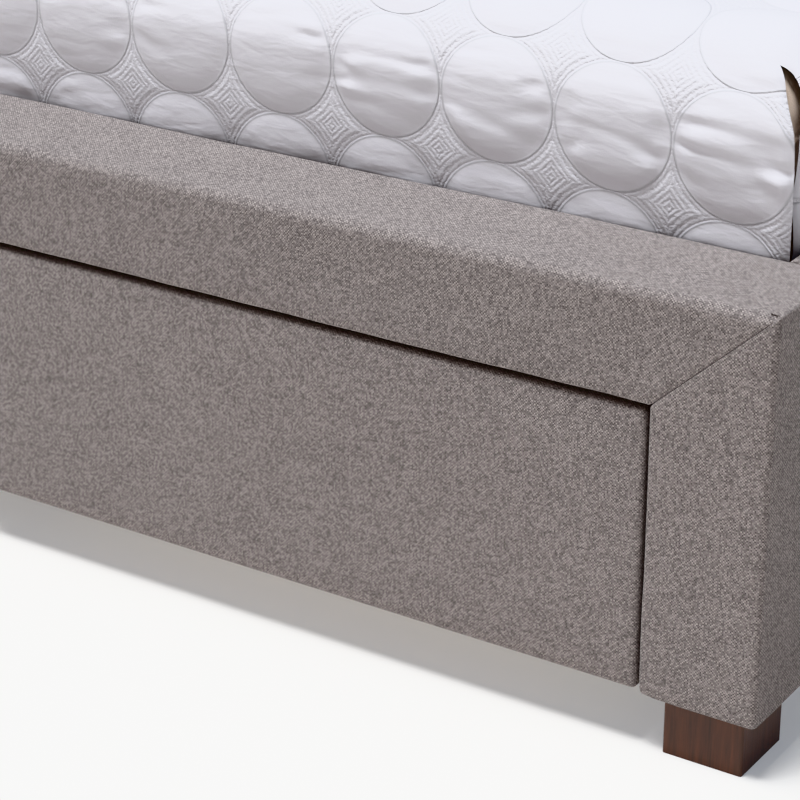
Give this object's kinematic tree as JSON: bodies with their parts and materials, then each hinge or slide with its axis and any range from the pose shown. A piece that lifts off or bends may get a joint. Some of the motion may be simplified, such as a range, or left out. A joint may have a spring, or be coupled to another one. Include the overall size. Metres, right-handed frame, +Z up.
{
  "type": "platform bed with storage drawers",
  "caption": "Upholstered low bed on square wooden feet, with a mitred frame round flush drawers in the foot end, a slatted base, a padded headboard and a quilted coverlet on its mattress.",
  "frame": {"origin": "on the floor, under the middle of the bed's length and width", "axes": "+X to the right seen from the foot end, +Y towards the headboard, +Z up"},
  "size_m": [1.64, 2.252, 1.18],
  "materials": {
    "grey_upholstery": "heathered linen-look weave",
    "coverlet_cotton": "quilted white cotton",
    "mattress_ticking": "knitted ticking",
    "black_lining": "thin spun-bonded cloth",
    "webbing": "woven tape",
    "stained_wood": "dark walnut stain, satin",
    "pine": "planed, unfinished",
    "plywood": "sanded, unfinished",
    "drawer_board": "clear satin lacquer",
    "black_steel": "satin black powder coat",
    "zinc_steel": "bright zinc plating",
    "black_plastic": "moulded, matt",
    "rubber": "matt"
  },
  "bodies": {
    "bed_frame": {"beam_hangers": "black_steel", "center_beam": "black_steel", "center_divider": "plywood", "center_legs": "black_steel", "corner_brackets": "black_steel", "corner_screws": "zinc_steel", "drawer_bumpers": "rubber", "foot_studs": "zinc_steel", "footboard_rail_core": "plywood", "footboard_top_cover": "grey_upholstery", "front_left_foot": "stained_wood", "front_right_foot": "stained_wood", "headboard_back_cloth": "black_lining", "headboard_center_pad": "grey_upholstery", "headboard_frame": "plywood", "headboard_left_border": "grey_upholstery", "headboard_panel": "plywood", "headboard_right_border": "grey_upholstery", "headboard_top_border": "grey_upholstery", "left_post_core": "plywood", "left_post_cover": "grey_upholstery", "left_rail_board": "plywood", "left_rail_cover": "grey_upholstery", "left_runner_board": "plywood", "leveller_inserts": "black_plastic", "rear_left_foot": "stained_wood", "rear_right_foot": "stained_wood", "rear_stretcher": "plywood", "right_post_core": "plywood", "right_post_cover": "grey_upholstery", "right_rail_board": "plywood", "right_rail_cover": "grey_upholstery", "right_runner_board": "plywood", "runner_spacers": "plywood", "slat_ledgers": "pine", "slat_straps": "webbing", "slats": "pine", "slide_housing_members": "zinc_steel"},
    "left_drawer": {"left_drawer_back": "drawer_board", "left_drawer_bottom": "drawer_board", "left_drawer_front_core": "drawer_board", "left_drawer_front_cover": "grey_upholstery", "left_drawer_side_inner": "drawer_board", "left_drawer_side_outer": "drawer_board", "left_drawer_slide_members": "zinc_steel"},
    "left_drawer_middle_members": {"left_drawer_middle_members": "zinc_steel"},
    "right_drawer": {"right_drawer_back": "drawer_board", "right_drawer_bottom": "drawer_board", "right_drawer_front_core": "drawer_board", "right_drawer_front_cover": "grey_upholstery", "right_drawer_side_inner": "drawer_board", "right_drawer_side_outer": "drawer_board", "right_drawer_slide_members": "zinc_steel"},
    "right_drawer_middle_members": {"right_drawer_middle_members": "zinc_steel"},
    "front_leveller": {"front_leveller": "black_plastic"},
    "middle_leveller": {"middle_leveller": "black_plastic"},
    "rear_leveller": {"rear_leveller": "black_plastic"},
    "mattress": {"mattress": "mattress_ticking", "coverlet": "coverlet_cotton"}
  },
  "joints": [
    {"name": "left_drawer_slide", "type": "slide", "parent": "bed_frame", "child": "left_drawer", "axis": [0, -1, 0], "range_m": [0, 0.56]},
    {"name": "left_drawer_middle_slide", "type": "slide", "parent": "bed_frame", "child": "left_drawer_middle_members", "axis": [0, -1, 0], "range_m": [0, 0.28]},
    {"name": "right_drawer_slide", "type": "slide", "parent": "bed_frame", "child": "right_drawer", "axis": [0, -1, 0], "range_m": [0, 0.56]},
    {"name": "right_drawer_middle_slide", "type": "slide", "parent": "bed_frame", "child": "right_drawer_middle_members", "axis": [0, -1, 0], "range_m": [0, 0.28]},
    {"name": "mattress_lift", "type": "slide", "parent": "bed_frame", "child": "mattress", "axis": [0, 0, 1], "range_m": [0, 0.6]},
    {"name": "front_leveller_screw", "type": "slide", "parent": "bed_frame", "child": "front_leveller", "axis": [0, 0, -1], "range_m": [0, 0.015]},
    {"name": "middle_leveller_screw", "type": "slide", "parent": "bed_frame", "child": "middle_leveller", "axis": [0, 0, -1], "range_m": [0, 0.015]},
    {"name": "rear_leveller_screw", "type": "slide", "parent": "bed_frame", "child": "rear_leveller", "axis": [0, 0, -1], "range_m": [0, 0.015]}
  ],
  "couplings": [
    {"joint": "left_drawer_middle_slide", "follows": "left_drawer_slide", "ratio": 0.5},
    {"joint": "right_drawer_middle_slide", "follows": "right_drawer_slide", "ratio": 0.5}
  ]
}
